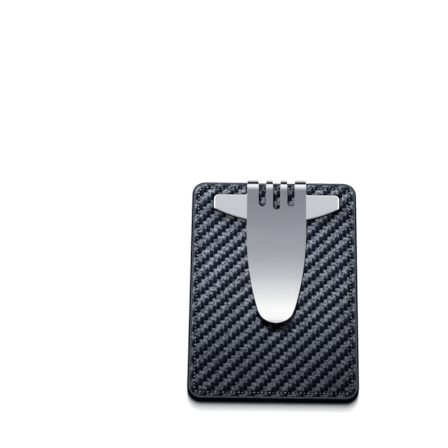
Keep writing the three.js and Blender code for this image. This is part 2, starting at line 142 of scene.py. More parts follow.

# How dark the painted shade makes the leather in its holes and seams, buried under the clip plate,
# on the wall of the plate's seat, behind the slots and just below the wings.
PAINTED_SHADE_HOLE = 0.99
PAINTED_SHADE_SEAM = 0.55
PAINTED_SHADE_BURIED = 0.93
PAINTED_SHADE_WALL = 0.7
PAINTED_SHADE_SLOT = 0.4
PAINTED_SHADE_BELOW_WINGS = 0.55
BACK_PAINTED_SHADE_HOLE = 0.9
BACK_PAINTED_SHADE_SEAM = 0.35

# Clip: its seat, half width of the strip, slots, outline of the tongue and shape of the bend.
SEAT_MARGIN = 0.15
SEAT_END_MARGIN = 1.1
SEAT_STRIP_MARGIN = 0.2
SEAT_STRIP_START = 35.0
SEAT_GAP = 0.03
SEAT_WALL = (-0.05, 0.4)
PRESSED_FLAT = 0.75
STRIP_HALF = (TONGUE_HIGH[0] - TONGUE_LOW[0]) / 2
SLOT_HALF = 1.6
SLOT_PITCH = 6.1
SIDE_SLOT_END = 36.6
MIDDLE_SLOT_END = 35.2
WING_TOP = 43.9
WING_END_LOW = 37.4
WING_SAG = WING_END_LOW - WING_BOTTOM
WING_CORNER = 1.8
WING_FILLET = 0.9
WING_LOW_CORNER = 0.8
TAPER_START = 26.7
TAPER_RADIUS = 145.0
TIP_RADIUS = 7.5
BEND_OUTER = 2.5
BEND_FOOT_Y = BEND_BACK - BEND_OUTER
BEND_TURN = math.radians(163)
CREST_RADIUS = 10.0
FALL_ANGLE = math.radians(9.2)
CONTACT_ANGLE = math.radians(0.5)
TIP_LIFT = math.radians(10.2)
CONTACT_Y = 3.0
ROOT_LENGTH = 0.3
TONGUE_ROOT = 4.0
SHEET_EDGE_ROUND = 0.38
CHAMFER_STRETCH = 2.05

# Pocket side: pad (set in so that its relief stays near the case's back), mouth, thumb slot and
# their turned edges.
PAD_FOOT = 3.0
PAD_FACE = 6.2
PAD_CROWN = 0.12
PAD_ROUNDING = 1.15
PAD_SET_IN = 0.12
CROWN_END = 16.0
LEATHER = 1.0
FACING_PUFF = 0.35
FACING_PUFF_REACH = 2.4
MOUTH_BOWL_RADIUS = 44.0
MOUTH_SLOPE = math.radians(22)
MOUTH_SLOPE_END = 23.0
MOUTH_SHOULDER_RADIUS = 24.0
MOUTH_STITCH_INSET = 1.5
MOUTH_STITCH_HALF = 31.5
THUMB_HALF_WIDTH = 8.3
THUMB_HALF_LENGTH = 22.9
THUMB_Y = -10.0
THUMB_STITCH_OFFSET = 1.7
TURNED_EDGE = 0.14
TURNED_WIDTH = 0.35
CUT_EDGE_RADIUS = 0.3
THUMB_EDGE_RADIUS = 0.24
CUT_EDGE_DEPTH = 0.36
THUMB_EDGE_DEPTH = 0.42
EDGE_PITCH = 0.6

# Camera: where it looks, from which side and how high, how far off, and its lens.
CAMERA_TARGET = (-21.316, 29.765, 6.0)
CAMERA_AZIMUTH = 2.022
CAMERA_ELEVATION = 62.864
CAMERA_DISTANCE = 829.4
CAMERA_ROLL = -1.178
CAMERA_LENS = 156.36
SENSOR = 36.0

# Sky: brightness at angles from overhead, its blue cast where dim, and its strength.
SKY_LEVELS = (
    (0, 0.24), (12, 0.262), (15, 0.305), (17, 0.352), (20, 0.385), (22, 0.47), (25, 0.65),
    (30, 0.775), (34, 0.885), (38, 1.0), (60, 1.0), (90, 0.68),
)
SKY_BLUE = 0.16
SKY_STRENGTH = 1.36
# Dark flag behind: degrees from overhead and to the side over which it fades, level and colour.
FLAG_TOP = (43.5, 45)
FLAG_BOTTOM = (69, 72)
FLAG_SIDES = (30, 40)
FLAG_LEVEL = 0.03
FLAG_COLOUR = (0.5, 0.75, 1.4, 1.0)
# Level of the camera's side of the sky in mirrors; level and colour of the sky on matt surfaces.
FRONT_LEVEL = 0.3
FRONT_START = -0.25
MATT_FILL = 0.1
FILL_COLOUR = (0.9, 0.97, 1.1, 1.0)
# Lamps: degrees from overhead, degrees across, watts or sun strength; the spot's places in metres.
FLOOR_TILTS = (-4, 8, 20, 32)
FLOOR_ANGLE = 13.0
FLOOR_POWER = 3.6
CASE_TILT = 44.0
CASE_ANGLE = 14.0
CASE_POWER = 4.0
SPOT_PLACE = (-0.12, 0.64, 0.6)
SPOT_AIM = (-0.025, 0.06, 0.0)
SPOT_ANGLE = 16.0
SPOT_RADIUS = 0.05
SPOT_POWER = 190.0
FLOOR_HALF = 3000.0
FLOOR_DROP = 0.02


# ---------- small maths ----------


def smooth_step(low, high, value):
    t = np.clip((value - low) / (high - low), 0, 1)
    return t * t * (3 - 2 * t)


def bell(offset, width):
    """1 where the offset is 0, falling off smoothly over about the given width."""
    return np.exp(-((offset / width) ** 2))


def inset_from_edge(x, y):
    """How far inside the rounded outline of the case a point lies."""
    across = np.abs(x) - (HALF_WIDTH - CORNER)
    along = np.abs(y) - (HALF_LENGTH - CORNER)
    outside = np.hypot(np.maximum(across, 0), np.maximum(along, 0))
    inside = np.minimum(np.maximum(across, along), 0)
    return CORNER - outside - inside


def panel_half_width(y):
    """Half width of a panel's rounded outline at height y."""
    radius = CORNER - PANEL_INSET
    beyond = np.maximum(np.abs(y) - (HALF_LENGTH - CORNER), 0)
    return HALF_WIDTH - CORNER + np.sqrt(np.maximum(radius**2 - beyond**2, 0))


def arc(x, y, radius, start, end, steps):
    angles = np.linspace(math.radians(start), math.radians(end), steps + 1)
    return [(x + radius * math.cos(a), y + radius * math.sin(a)) for a in angles]


def rounded_rectangle(half_x, half_y, radius, centre_y=0.0, steps=14):
    points = []
    for quarter, (side_x, side_y) in enumerate(((1, -1), (1, 1), (-1, 1), (-1, -1))):
        x = side_x * (half_x - radius)
        y = centre_y + side_y * (half_y - radius)
        points += arc(x, y, radius, 90 * quarter - 90, 90 * quarter, steps)
    return points


def case_outline(inset):
    return rounded_rectangle(HALF_WIDTH - inset, HALF_LENGTH - inset, CORNER - inset)


def thumb_ring(offset):
    half_x = THUMB_HALF_WIDTH + offset
    return rounded_rectangle(half_x, THUMB_HALF_LENGTH + offset, half_x, THUMB_Y, steps=20)


def thumb_middle(y):
    """Height of the point on the thumb slot's middle line that is nearest to height y."""
    straight = THUMB_HALF_LENGTH - THUMB_HALF_WIDTH
    return THUMB_Y + np.clip(y - THUMB_Y, -straight, straight)


def thumb_inset(x, y):
    """Signed distance from the thumb slot's edge, positive outside the slot."""
    return np.hypot(x, y - thumb_middle(y)) - THUMB_HALF_WIDTH


def mouth_line(x, inset=0.0):
    """Height of the scooped mouth at x, moved into the pocket by `inset`: bowl, slope, shoulder."""
    x = np.abs(x)
    slope = MOUTH_SLOPE
    bowl = MOUTH_BOWL_RADIUS + inset
    shoulder = MOUTH_SHOULDER_RADIUS - inset
    bowl_end = bowl * math.sin(slope)
    slope_end = MOUTH_SLOPE_END + inset * math.sin(slope)
    shoulder_x = MOUTH_SLOPE_END + MOUTH_SHOULDER_RADIUS * math.sin(slope)
    top = MOUTH_SHOULDER - inset
    shoulder_low = top - shoulder * (1 - math.cos(slope))
    slope_low = shoulder_low - (slope_end - bowl_end) * math.tan(slope)
    bottom = slope_low - bowl * (1 - math.cos(slope))
    in_bowl = bottom + bowl - np.sqrt(np.maximum(bowl**2 - x**2, 0))
    on_slope = slope_low + (x - bowl_end) * math.tan(slope)
    reach = np.clip(shoulder_x - x, 0, None)
    on_shoulder = top - shoulder + np.sqrt(np.maximum(shoulder**2 - reach**2, 0))
    return np.where(x < bowl_end, in_bowl, np.where(x < slope_end, on_slope, on_shoulder))


def polygon_distance(x, y, polygon):
    """Distance from points to a closed polygon, negative inside it."""
    tiny = 1e-12
    corners = np.array(polygon)
    nearest = np.full(x.shape, np.inf)
    inside = np.zeros(x.shape, bool)
    for (ax, ay), (bx, by) in zip(corners, np.roll(corners, -1, axis=0)):
        ex, ey = bx - ax, by - ay
        length = ex * ex + ey * ey
        if length < tiny:
            continue
        t = np.clip(((x - ax) * ex + (y - ay) * ey) / length, 0, 1)
        nearest = np.minimum(nearest, np.hypot(x - ax - t * ex, y - ay - t * ey))
        crosses = (ay > y) != (by > y)
        side = ax + (y - ay) * ex / (ey if abs(ey) > tiny else tiny)
        inside ^= crosses & (x < side)
    return np.where(inside, -nearest, nearest)


def twill_relief(x, y):
    """Height of the embossed tows: warp floats are tall ovals, weft floats lie between them."""
    u = x / COLUMN + TWILL_PHASE[0]
    v = y / ROW + TWILL_PHASE[1]
    column, row = np.floor(u), np.floor(v)
    across_column, across_row = u - column, v - row
    step = np.mod(row - column, 4)
    warp = step < WARP_STEPS
    along = np.where(warp, (step + across_row) / 2, (3 - step + across_column) / 2)
    across = np.where(warp, across_column, across_row)
    pillow = (1 - np.abs(2 * across - 1) ** 3) * np.sin(np.pi * np.clip(along, 0, 1)) ** 0.6
    return np.where(warp, WARP_RELIEF, WEFT_RELIEF) * pillow


def walk(points, closed):
    """A function that gives the points at some lengths along a line, and the line's length."""
    line = np.array(points, float)
    if closed:
        line = np.vstack([line, line[:1]])
    steps = np.hypot(*np.diff(line, axis=0).T)
    lengths = np.concatenate([[0], np.cumsum(steps)])

    def place(at):
        return np.column_stack([np.interp(at, lengths, column) for column in line.T])
    return place, lengths[-1]


def evenly_round(ring, pitch=None, count=None):
    """Evenly spaced points round a closed line, at about a pitch or of a given count."""
    place, total = walk(ring, True)
    count = count or int(total / pitch)
    return place(np.arange(count) * total / count)


# ---------- mesh making ----------


def make_object(name, vertices, faces, smooth=True):
    mesh = bpy.data.meshes.new(name)
    mesh.from_pydata((np.asarray(vertices, float) * MM).tolist(), [], faces)
    mesh.update()
    if smooth:
        mesh.shade_smooth()
    obj = bpy.data.objects.new(name, mesh)
    bpy.context.scene.collection.objects.link(obj)
    return obj


def add_values(obj, name, values):
    """One number at every point, read by the leather's nodes."""
    layer = obj.data.attributes.new(name, "FLOAT", "POINT")
    layer.data.foreach_set("value", np.asarray(values, np.float32))


def grid_positions(low, high, pitch):
    """Evenly spaced positions with closer ones near both ends."""
    ends = np.array(GRID_ENDS)
    inner_low = low + ends[-1] + pitch
    inner_high = high - ends[-1] - pitch
    count = int(round((inner_high - inner_low) / pitch))
    middle = np.linspace(inner_low, inner_high, count + 1)
    return np.concatenate([low + ends, middle, (high - ends)[::-1]])


def panel_grid(low, pitch):
    """Grid of a panel from y = low to the mouth end; its columns follow the rounded corners."""
    rows = grid_positions(low, HALF_LENGTH - PANEL_INSET, pitch)
    columns = grid_positions(-PANEL_HALF, PANEL_HALF, pitch)
    x = columns[None, :] / PANEL_HALF * panel_half_width(rows)[:, None]
    return x, np.repeat(rows[:, None], len(columns), axis=1)


def shell(name, x, y, outer_z, inner_z, faces_up, shade, weave, keep=None):
    """A closed skin: an outer surface on a grid, an inner one behind it, and walls round every
    edge. Grid points for which keep is false are left out."""
    rows, columns = x.shape
    total = rows * columns
    index = np.arange(total).reshape(rows, columns)
    quads = np.stack([index[:-1, :-1], index[:-1, 1:], index[1:, 1:], index[1:, :-1]], -1)
    quads = quads.reshape(-1, 4)
    if keep is not None:
        quads = quads[keep.ravel()[quads].all(axis=1)]
    if not faces_up:
        quads = quads[:, ::-1]
    edges = np.concatenate([quads[:, [i, (i + 1) % 4]] for i in range(4)])
    forward = edges[:, 0] * total + edges[:, 1]
    backward = edges[:, 1] * total + edges[:, 0]
    border = edges[~np.isin(forward, backward)]
    used = np.unique(quads)
    count = len(used)
    number = np.full(total, -1)
    number[used] = np.arange(count)
    quads = number[quads]
    border = number[border]
    plan = np.stack([x.ravel()[used], y.ravel()[used]], 1)
    outer = np.column_stack([plan, outer_z.ravel()[used]])
    inner = np.column_stack([plan, inner_z.ravel()[used]])
    walls = np.column_stack(
        [border[:, 1], border[:, 0], border[:, 0] + count, border[:, 1] + count]
    )
    faces = np.concatenate([quads, quads[:, ::-1] + count, walls])
    obj = make_object(name, np.vstack([outer, inner]), faces.tolist())
    add_values(obj, "shade", np.tile(shade.ravel()[used], 2))
    add_values(obj, "weave", np.tile(weave.ravel()[used], 2))
    return obj


def ring_faces(count, width, closed):
    """Faces between `count` sections of `width` points; closed joins the last to the first."""
    faces = []
    for i in range(count if closed else count - 1):
        j = (i + 1) % count
        for k in range(width):
            m = (k + 1) % width
            faces.append([i * width + k, i * width + m, j * width + m, j * width + k])
    return faces


def tube_along(points, radius, sides=8, closed=False):
    """Vertices and faces of a tube through 3-D points, its ends closed unless it is a ring."""
    line = np.array(points, float)
    count = len(line)
    ahead = np.roll(line, -1, axis=0) - np.roll(line, 1, axis=0)
    if not closed:
        ahead[0] = line[1] - line[0]
        ahead[-1] = line[-1] - line[-2]
    ahead /= np.linalg.norm(ahead, axis=1)[:, None]
    side = np.cross(ahead, [0.0, 0.0, 1.0])
    side /= np.linalg.norm(side, axis=1)[:, None]
    up = np.cross(side, ahead)
    radii = np.broadcast_to(np.asarray(radius, float), (count,))
    vertices = []
    for k in range(sides):
        angle = 2 * math.pi * k / sides
        offset = side * math.cos(angle) + up * math.sin(angle)
        vertices.append(line + offset * radii[:, None])
    vertices = np.stack(vertices, 1).reshape(-1, 3)
    faces = ring_faces(count, sides, closed)
    if not closed:
        faces.append(list(range(sides))[::-1])
        faces.append([(count - 1) * sides + k for k in range(sides)])
    return vertices, faces


def joined(parts):
    vertices, faces, start = [], [], 0
    for part_vertices, part_faces in parts:
        vertices.append(part_vertices)
        faces += [[v + start for v in face] for face in part_faces]
        start += len(part_vertices)
    return np.vstack(vertices), faces


# ---------- stitches ----------


def stitch_starts(total):
    """Start of every stitch as a length along a line of the given length, and their pitch."""
    count = int(round(total / STITCH_PITCH))
    pitch = total / count
    return np.arange(count) * pitch, pitch


def needle_holes(points, closed):
    place, total = walk(points, closed)
    return place(stitch_starts(total)[0])


def stitch_row(name, points, closed, surface, side):
    """Separate short stitches that dive into their needle holes; side is +1 on top, -1 below.
    Every other stitch is pulled tight and looks thinner."""
    place, total = walk(points, closed)
    starts, pitch = stitch_starts(total)
    stations = np.linspace(0, 1, 9)
    arch = np.sin(np.pi * stations) ** 0.55
    slant = (stations - 0.5) * 2 * THREAD_SLANT
    lift = arch * THREAD_ARCH - THREAD_SINK
    run = pitch - STITCH_GAP + 2 * THREAD_OVERLAP
    parts = []
    for number, start in enumerate(starts):
        at = start + STITCH_GAP / 2 - THREAD_OVERLAP + stations * run
        spots = place(np.mod(at, total) if closed else np.clip(at, 0, total))
        ahead = np.gradient(spots, axis=0)
        ahead /= np.maximum(np.hypot(*ahead.T), 1e-9)[:, None]
        sideways = np.column_stack([-ahead[:, 1], ahead[:, 0]])
        spots = spots + sideways * slant[:, None]
        height = surface(spots[:, 0], spots[:, 1]) + side * lift
        radii = THREAD_RADIUS * THREAD_FULLNESS[number % 2] * (0.62 + 0.38 * arch)
        parts.append(tube_along(np.column_stack([spots, height]), radii))
    return make_object(name, *joined(parts))


def hole_pits(x, y, holes):
    """0 away from the needle holes, 1 in their middles; every other hole is pulled tighter."""
    pit = np.zeros(x.shape)
    for number, (hole_x, hole_y) in enumerate(holes):
        near = (np.abs(x - hole_x) < HOLE_REACH) & (np.abs(y - hole_y) < HOLE_REACH)
        distance = np.hypot(x[near] - hole_x, y[near] - hole_y)
        pit[near] = np.maximum(pit[near], bell(distance, HOLE_RADII[number % 2]))
    return pit


def mouth_stitch_line():
    x = np.linspace(-MOUTH_STITCH_HALF, MOUTH_STITCH_HALF, 140)
    return np.column_stack([x, mouth_line(x, MOUTH_STITCH_INSET)])


def half_rim_line(end, start_y):
    """The rim stitching of one end of the case, +1 the mouth end or -1 the other, that starts
    and stops at start_y on the sides."""
    ring = np.array(case_outline(STITCH_INSET))
    half = ring[ring[:, 1] * end > 0]
    order = np.argsort(np.arctan2(half[:, 0], half[:, 1] * end))
    x = HALF_WIDTH - STITCH_INSET
    return np.vstack([[(-x, start_y)], half[order], [(x, start_y)]])


def pocket_rim_line():
    return half_rim_line(-1, MOUTH_SHOULDER - 0.8)


def facing_rim_line():
    return half_rim_line(1, MOUTH_SHOULDER + 0.6)


# ---------- clip seat in the leather ----------


def mirrored(points):
    """An outline's other side: the points mirrored about the clip's middle, in reverse order."""
    return [(2 * CLIP_X - x, y) for x, y in points[::-1]]


def wing_arc(span, low, steps):
    """Lower edge of the wings, an arc that meets their ends at height `low`."""
    radius = (span**2 + WING_SAG**2) / (2 * WING_SAG)
    half = math.degrees(math.asin(span / radius))
    return arc(CLIP_X, low - WING_SAG + radius, radius, 270 - half, 270 + half, steps)


def plate_outline(side, end):
    """Wings of the clip plate, widened by `side` along it and by `end` at its ends."""
    span = WING_SPAN + end
    corner_y = WING_TOP + side - WING_CORNER
    corner = arc(CLIP_X + span - WING_CORNER, corner_y, WING_CORNER, 0, 90, 6)
    return wing_arc(span, WING_END_LOW - side, 24) + corner + mirrored(corner)


def seat_drop(x, y):
    """How far the leather is pressed down under the clip plate and its strip."""
    wings = polygon_distance(x, y, plate_outline(SEAT_MARGIN, SEAT_END_MARGIN))
    beside = np.abs(x - CLIP_X) - STRIP_HALF - SEAT_STRIP_MARGIN
    strip = np.maximum(beside, SEAT_STRIP_START - y)
    return (SEAT_DEPTH + SEAT_GAP) * (1 - smooth_step(*SEAT_WALL, np.minimum(wings, strip)))


# ---------- leather panels ----------


def weave_strength(x, y):
    """The embossed pattern grows weaker near the sides and the mouth end."""
    inset = inset_from_edge(x, np.maximum(y, 0))
    return WEAVE_LEAST + (1 - WEAVE_LEAST) * smooth_step(WEAVE_START, WEAVE_FULL, inset)


def drawn_in(inset, tuck):
    """How far a leather is drawn in along its seam and where it tucks under the edge paint."""
    groove = GROOVE_DEPTH * bell(inset - STITCH_INSET, GROOVE_WIDTH)
    return groove + tuck * (1 - smooth_step(PANEL_INSET, TUCK_END, inset))


def shaded(*layers):
    """Light left on the leather by layers of painted shade, each of which is (how dark, where from 0
    to 1).
    """
    light = 1.0
    for dark, where in layers:
        light = light * (1 - dark * where)
    return light


def front_surface(x, y):
    """Top of the front leather, without its weave and needle holes."""
    inset = inset_from_edge(x, y)
    padding = PADDING * smooth_step(STITCH_INSET, STITCH_INSET + PADDING_REACH, inset) - FACE_DROP
    return CASE_TOP + padding - drawn_in(inset, FRONT_TUCK) - seat_drop(x, y)


def front_shade(x, y, pit, drop):
    """Painted shade on the front leather: darker in its holes and seam and where the clip keeps the
    light off.
    Each layer fades in between two distances in millimetres."""
    seam = bell(inset_from_edge(x, y) - STITCH_INSET, SEAM_WIDTH)
    wall = smooth_step(0.03, 0.2, drop) * (1 - smooth_step(0.8, 0.98, drop / SEAT_DEPTH))
    pressed = smooth_step(0.1, 0.4, drop)
    off_middle = np.abs(x - CLIP_X)
    behind_slots = smooth_step(-0.3, 0.1, STRIP_HALF - off_middle)
    under_plate = smooth_step(-1.5, -0.2, WING_SPAN - off_middle)
    near_plate = 1 - smooth_step(1.0, 8.0, polygon_distance(x, y, plate_outline(0, 0)))
    # Painted shade: holes, seam, seat wall, slots and the plate's cast shadow darken the leather's
    # colour.
    return shaded(
        (PAINTED_SHADE_HOLE, pit),
        (PAINTED_SHADE_SEAM, seam),
        (PAINTED_SHADE_BURIED, pressed * (1 - behind_slots) * under_plate),
        (PAINTED_SHADE_WALL, wall),
        (PAINTED_SHADE_SLOT, pressed * behind_slots),
        (PAINTED_SHADE_BELOW_WINGS, near_plate * smooth_step(0, 3, WING_END_LOW + 2 - y)),
    )


def front_panel():
    x, y = panel_grid(-HALF_LENGTH + PANEL_INSET, FRONT_GRID)
    pit = hole_pits(x, y, needle_holes(case_outline(STITCH_INSET), True))
    drop = seat_drop(x, y)
    strength = weave_strength(x, y)
    relief = twill_relief(x, y) * strength * (1 - PRESSED_FLAT * drop / SEAT_DEPTH)
    z = front_surface(x, y) + relief - HOLE_DEPTH * pit
    back = np.full(x.shape, BOARD_TOP + CLEARANCE)
    shade = front_shade(x, y, pit, drop)
    return shell("front_leather_panel", x, y, z, back, True, shade, strength)


def pocket_surface(x, y):
    """Outer face of the pocket leather: a flat rim, then a pad standing proud of it."""
    inset = np.minimum(HALF_WIDTH - np.abs(x), HALF_LENGTH + y)
    corner = np.minimum(inset_from_edge(x, np.minimum(y, 0)), inset)
    rise = np.clip((corner - PAD_FOOT) / (PAD_FACE - PAD_FOOT), 0, 1)
    pad = np.sin(rise * np.pi / 2) ** PAD_ROUNDING
    crown = PAD_CROWN * (1 - smooth_step(PAD_FACE - 0.5, CROWN_END, corner))
    return (RIM_UNDERSIDE - crown) * (1 - pad) + crown + drawn_in(corner, BACK_TUCK)


def snapped_to_thumb_slot(x, y, keep):
    """Moves the grid points that border the dropped ones onto the slot's edge."""
    beside = np.zeros(keep.shape, bool)
    for down in (-1, 0, 1):
        for across in (-1, 0, 1):
            beside |= np.roll(np.roll(~keep, down, 0), across, 1)
    border = keep & beside
    centre_y = thumb_middle(y)
    away = np.hypot(x, y - centre_y)
    new_x = x * THUMB_HALF_WIDTH / away
    new_y = centre_y + (y - centre_y) * THUMB_HALF_WIDTH / away
    return np.where(border, new_x, x), np.where(border, new_y, y)


def pocket_grid():
    """Grid of the pocket leather, whose rows bend to the scooped mouth, and which points to keep
    so that the thumb slot stays open."""
    columns = grid_positions(-PANEL_HALF, PANEL_HALF, BACK_GRID)
    low = -HALF_LENGTH + PANEL_INSET
    shares = (grid_positions(low, MOUTH_SHOULDER, BACK_GRID) - low) / (MOUTH_SHOULDER - low)
    y = low + shares[:, None] * (mouth_line(columns)[None, :] - low)
    x = columns[None, :] / PANEL_HALF * panel_half_width(y)
    keep = thumb_inset(x, y) > 0.3 * BACK_GRID
    x, y = snapped_to_thumb_slot(x, y, keep)
    return x, y, keep


def pocket_panel():
    x, y, keep = pocket_grid()
    pit = hole_pits(x, y, np.vstack([
        needle_holes(pocket_rim_line(), False),
        needle_holes(mouth_stitch_line(), False),
        needle_holes(thumb_ring(THUMB_STITCH_OFFSET), True),
    ]))
    slot = thumb_inset(x, y)
    below_mouth = mouth_line(x) - y
    to_edge = np.minimum(slot, below_mouth)
    to_mouth_stitch = np.abs(below_mouth - MOUTH_STITCH_INSET)
    to_thumb_stitch = np.abs(slot - THUMB_STITCH_OFFSET)
    seam = bell(np.minimum(to_mouth_stitch, to_thumb_stitch), GROOVE_WIDTH)
    strength = weave_strength(x, np.minimum(y, 0)) * (1 - 0.6 * seam)
    weave = twill_relief(-x, y) * smooth_step(0.1, 0.6, to_edge) * strength
    turned = TURNED_EDGE * (1 - smooth_step(0.0, TURNED_WIDTH, to_edge))
    sunk = HOLE_DEPTH * pit + GROOVE_DEPTH * seam + turned
    z = pocket_surface(x, y) - weave + sunk + PAD_SET_IN
    rim_seam = bell(inset_from_edge(x, np.minimum(y, 0)) - STITCH_INSET, SEAM_WIDTH)
    # Painted shade in the needle holes and along the seams.
    shade = shaded((BACK_PAINTED_SHADE_HOLE, pit), (BACK_PAINTED_SHADE_SEAM, np.maximum(rim_seam, seam)))
    inner = pocket_surface(x, y) * 0.55 + LEATHER
    return shell("pocket_leather_panel", x, y, z, inner, False, shade, strength, keep)


def facing_surface(x, y):
    """Outer face of the leather beyond the mouth, slightly puffed inside its stitching."""
    inset = inset_from_edge(x, np.maximum(y, 0))
    rise = np.clip((inset - PAD_FOOT) / FACING_PUFF_REACH, 0, 1)
    puff = FACING_PUFF * np.sin(rise * np.pi / 2)
    return MOUTH_UNDERSIDE + FACE_DROP - puff + drawn_in(inset, BACK_TUCK)


def facing_panel():
    x, y = panel_grid(FACING_START, BACK_GRID)
    pit = hole_pits(x, y, needle_holes(facing_rim_line(), False))
    strength = weave_strength(x, y)
    z = facing_surface(x, y) - twill_relief(-x, y) * strength + HOLE_DEPTH * pit
    seam = bell(inset_from_edge(x, y) - STITCH_INSET, SEAM_WIDTH)
    # Painted shade in the needle holes and along the seams.
    shade = shaded((BACK_PAINTED_SHADE_HOLE, pit), (BACK_PAINTED_SHADE_SEAM, seam))
    inner = np.full(x.shape, MOUTH_UNDERSIDE + LEATHER - 0.03)
    return shell("mouth_facing_panel", x, y, z, inner, False, shade, strength)


# ---------- painted edges ----------


def edge_section():
    """Points of the paint's section as (inset, 1 below or 0 above, rise): in under the upper
    leather, over the upper rim, over the lower rim and in again."""
    band = RIM_BAND + EDGE_SWELL
    turn = np.linspace(0.1, np.pi / 2, 9)
    lap = [(band + 0.5, 0.5), (band + 0.08, 0.12), (band, 0)]
    section = [(inset, 0, -rise) for inset, rise in lap]
    section += [(band * (1 - math.sin(a)), 0, -RIM_DEPTH * (1 - math.cos(a))) for a in turn]
    section += [(band * (1 - math.cos(a)), 1, RIM_DEPTH * (1 - math.sin(a))) for a in turn]
    section += [(inset, 1, rise) for inset, rise in lap[::-1]]
    return section


def edge_band():
    """The smooth painted edge that wraps over both rims all the way round."""
    spots = evenly_round(case_outline(-EDGE_SWELL), pitch=EDGE_PITCH)
    flat = np.array([HALF_WIDTH - CORNER, HALF_LENGTH - CORNER])
    out = spots - np.clip(spots, -flat, flat)
    out /= np.hypot(*out.T)[:, None]
    top = CASE_TOP - seat_drop(spots[:, 0], spots[:, 1])
    past_mouth = smooth_step(MOUTH_SHOULDER - 0.1, MOUTH_SHOULDER + 0.3, spots[:, 1])
    low = RIM_UNDERSIDE + (MOUTH_UNDERSIDE - RIM_UNDERSIDE) * past_mouth
    section = edge_section()
    vertices = [
        np.column_stack([spots - out * inset, (low if below else top) + rise])
        for inset, below, rise in section
    ]
    vertices = np.stack(vertices, 1).reshape(-1, 3)
    return make_object("painted_edge", vertices, ring_faces(len(spots), len(section), True))


def mouth_edge():
    """Cut edge along the scooped mouth; its pale colour is a painted highlight."""
    x = np.linspace(-HALF_WIDTH + 0.9, HALF_WIDTH - 0.9, 160)
    y = mouth_line(x) + CLEARANCE
    line = np.column_stack([x, y, pocket_surface(x, y) + CUT_EDGE_DEPTH])
    return make_object("mouth_cut_edge", *tube_along(line, CUT_EDGE_RADIUS, 10))


def thumb_edge():
    """Painted rim of the thumb slot."""
    spots = evenly_round(thumb_ring(0.05), count=150)
    line = np.column_stack([spots, pocket_surface(spots[:, 0], spots[:, 1]) + THUMB_EDGE_DEPTH])
    return make_object("thumb_slot_edge", *tube_along(line, THUMB_EDGE_RADIUS, 10, True))


# ---------- clip ----------


def strip_segments():
    """Turns of the folded strip as (length, angle) along its middle, from the foot of the bend."""
    middle = BEND_OUTER - SHEET / 2
    rise = math.pi - BEND_TURN
    crest_y = BEND_FOOT_Y + (middle - CREST_RADIUS) * math.sin(rise)
    fall_start = crest_y - CREST_RADIUS * math.sin(FALL_ANGLE)
    fall = (fall_start - CONTACT_Y) / (math.sin(FALL_ANGLE) - math.sin(CONTACT_ANGLE))
    tip = (CONTACT_Y - TIP_Y) / (math.sin(TIP_LIFT) + math.sin(CONTACT_ANGLE))
    crest_turn = rise + FALL_ANGLE
    fall_turn = FALL_ANGLE - CONTACT_ANGLE
    tip_turn = CONTACT_ANGLE + TIP_LIFT
    return [
        (middle * BEND_TURN, BEND_TURN),
        (CREST_RADIUS * crest_turn, crest_turn),
        (fall * fall_turn, -fall_turn),
        (tip * tip_turn, -tip_turn),
    ]


STRIP_SEGMENTS = strip_segments()
BEND_END = STRIP_SEGMENTS[0][0]
CREST_END = BEND_END + STRIP_SEGMENTS[1][0]
STRIP_END = sum(length for length, turn in STRIP_SEGMENTS)


def strip_place(s):
    """y, z and heading of the strip's middle at a length s past the foot of the bend."""
    y = BEND_FOOT_Y
    z = CASE_TOP - SEAT_DEPTH + SHEET / 2
    heading = 0.0
    if s <= 0:
        return y + s, z, heading
    for length, turn in STRIP_SEGMENTS:
        run = min(s, length)
        part = turn * run / length
        radius = length / turn
        y += radius * (math.sin(heading + part) - math.sin(heading))
        z += radius * (math.cos(heading) - math.cos(heading + part))
        heading += part
        s -= run
        if s <= 1e-12:
            break
    return y + s * math.cos(heading), z + s * math.sin(heading), heading


def lengths_at(ys):
    """Lengths along the strip at which the tongue passes each y."""
    table = np.linspace(BEND_END, STRIP_END, 2000)
    heights = np.array([strip_place(s)[0] for s in table])
    falling = np.argmax(heights)
    return np.interp(-np.asarray(ys), -heights[falling:], table[falling:])


def rounded_corner(before, corner, after, radius):
    """Short curve that takes a corner off an outline."""
    a, b, c = (np.array(p, float) for p in (before, corner, after))
    start = b + (a - b) / np.linalg.norm(a - b) * radius
    end = b + (c - b) / np.linalg.norm(c - b) * radius
    ts = np.linspace(0, 1, 6)
    return [tuple((1 - t) ** 2 * start + 2 * t * (1 - t) * b + t * t * end) for t in ts]


def slotted_edge(root_y):
    """The bend end of a leaf, from its right side to its left, round the three slots."""
    points = [(CLIP_X + STRIP_HALF, root_y)]
    for place, end_y in ((1, SIDE_SLOT_END), (0, MIDDLE_SLOT_END), (-1, SIDE_SLOT_END)):
        centre = CLIP_X + place * SLOT_PITCH
        points.append((centre + SLOT_HALF, root_y))
        points += arc(centre, end_y + SLOT_HALF, SLOT_HALF, 0, -180, 14)
        points.append((centre - SLOT_HALF, root_y))
    points.append((CLIP_X - STRIP_HALF, root_y))
    return points


def base_outline(root_y):
    bottom = wing_arc(WING_SPAN, WING_END_LOW, 40)
    end_x = CLIP_X + WING_SPAN
    corner_y = WING_TOP - WING_CORNER
    fillet_x = CLIP_X + STRIP_HALF + WING_FILLET
    right = rounded_corner(bottom[-2], (end_x, WING_END_LOW), (end_x, corner_y), WING_LOW_CORNER)
    right += arc(end_x - WING_CORNER, corner_y, WING_CORNER, 0, 90, 8)
    right += arc(fillet_x, WING_TOP + WING_FILLET, WING_FILLET, 270, 180, 6)
    return bottom[1:-1] + right + slotted_edge(root_y) + mirrored(right)


def tongue_outline(root_y):
    tip_y = TIP_Y + TIP_RADIUS
    side_x = TAPER_RADIUS - STRIP_HALF
    turn = math.degrees(math.atan2(TAPER_START - tip_y, side_x))
    left = arc(CLIP_X + side_x, TAPER_START, TAPER_RADIUS, 180, 180 + turn, 24)
    tip = arc(CLIP_X, tip_y, TIP_RADIUS, 180 + turn, 360 - turn, 36)
    return left + tip[1:] + mirrored(left)[1:] + slotted_edge(root_y)


